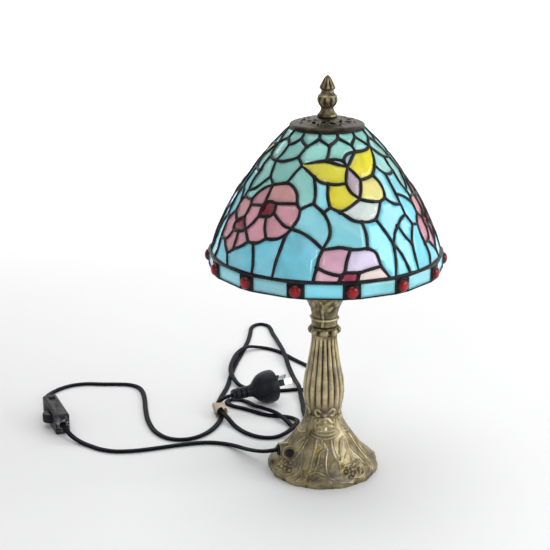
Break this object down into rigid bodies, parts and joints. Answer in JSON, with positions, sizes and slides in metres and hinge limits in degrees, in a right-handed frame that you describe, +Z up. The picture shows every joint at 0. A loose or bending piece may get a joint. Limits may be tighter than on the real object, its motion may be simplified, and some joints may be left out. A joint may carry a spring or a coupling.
{
  "type": "table lamp",
  "caption": "Leaded-glass table lamp: domed shade with jewelled border on a harp, cast foot and fluted column, turned finial, flat flex with wheel switch and two-pin plug.",
  "frame": {"origin": "centre of the base's underside, on the table", "axes": "+Z up along the column; -Y is the front; the flex lies to the left, -X, and behind, +Y"},
  "size_m": [0.3803, 0.4719, 0.3505],
  "materials": {
    "antique_brass": "cast and brushed, aged with a dark patina in the recesses",
    "contact_brass": "plain drawn brass",
    "plated_steel": "nickel plated",
    "lead": "solder with a dark patina",
    "coloured_glass": "streaky opalescent sheet glass",
    "ruby_glass": "pressed and polished",
    "opal_glass": "opal white, blown",
    "porcelain": "glazed",
    "black_plastic": "moulded, satin",
    "black_flex": "flat twin flex, satin",
    "felt": "felt",
    "paper_tape": "creped paper tape"
  },
  "bodies": {
    "stand": {"base_casting": "antique_brass", "base_felt": "felt", "base_washer": "plated_steel", "base_nut": "plated_steel", "threaded_tube": "plated_steel", "cord_bush": "black_plastic", "clamp_screw": "black_plastic", "column_casting": "antique_brass", "neck_ring": "antique_brass", "lamp_cup": "antique_brass", "lampholder_cap": "antique_brass", "lampholder_skirt": "black_plastic", "lampholder_insulator": "porcelain", "lampholder_shell": "contact_brass", "lampholder_contact": "contact_brass", "harp_saddle": "antique_brass", "harp_bow": "antique_brass", "harp_stud": "antique_brass", "lamp_lead": "black_flex", "supply_lead": "black_flex", "cord_tie": "paper_tape", "switch_base": "black_plastic", "switch_cover": "black_plastic", "switch_screw": "plated_steel", "plug_body": "black_plastic", "plug_pin_near": "plated_steel", "plug_pin_far": "plated_steel"},
    "shade": {"dome_glass_1": "coloured_glass", "dome_glass_2": "coloured_glass", "dome_glass_3": "coloured_glass", "dome_glass_4": "coloured_glass", "dome_glass_5": "coloured_glass", "dome_glass_6": "coloured_glass", "border_tiles": "coloured_glass", "border_lower_came": "lead", "border_upper_came": "lead", "jewel_01": "ruby_glass", "jewel_02": "ruby_glass", "jewel_03": "ruby_glass", "jewel_04": "ruby_glass", "jewel_05": "ruby_glass", "jewel_06": "ruby_glass", "jewel_07": "ruby_glass", "jewel_08": "ruby_glass", "jewel_09": "ruby_glass", "jewel_10": "ruby_glass", "jewel_11": "ruby_glass", "jewel_12": "ruby_glass", "jewel_13": "ruby_glass", "jewel_14": "ruby_glass", "shade_ring": "antique_brass", "heat_cap": "antique_brass"},
    "finial_carrier": {"finial_insert": "contact_brass"},
    "finial": {"finial": "antique_brass"},
    "bulb_carrier": {"bulb_contact": "lead"},
    "bulb": {"bulb_cap": "contact_brass", "bulb_glass": "opal_glass"},
    "switch_wheel": {"switch_wheel": "black_plastic"}
  },
  "joints": [
    {"name": "shade_turn", "type": "hinge", "parent": "stand", "child": "shade", "pos_m": [0, 0, 0.305], "axis": [0, 0, 1], "continuous": true},
    {"name": "finial_rise", "type": "slide", "parent": "stand", "child": "finial_carrier", "axis": [0, 0, 1], "range_m": [0, 0.0054]},
    {"name": "finial_turn", "type": "hinge", "parent": "finial_carrier", "child": "finial", "pos_m": [0, 0, 0.3163], "axis": [0, 0, 1], "range_deg": [0, 2160]},
    {"name": "bulb_rise", "type": "slide", "parent": "stand", "child": "bulb_carrier", "axis": [0, 0, 1], "range_m": [0, 0.00846]},
    {"name": "bulb_turn", "type": "hinge", "parent": "bulb_carrier", "child": "bulb", "pos_m": [0, 0, 0.2], "axis": [0, 0, 1], "range_deg": [0, 1080]},
    {"name": "switch_turn", "type": "hinge", "parent": "stand", "child": "switch_wheel", "pos_m": [-0.25981, 0.08206, 0.01], "axis": [0, 0, 1], "continuous": true}
  ],
  "couplings": [
    {"joint": "finial_turn", "follows": "finial_rise", "rad_per_m": 6981.3},
    {"joint": "bulb_turn", "follows": "bulb_rise", "rad_per_m": 2228.1}
  ]
}
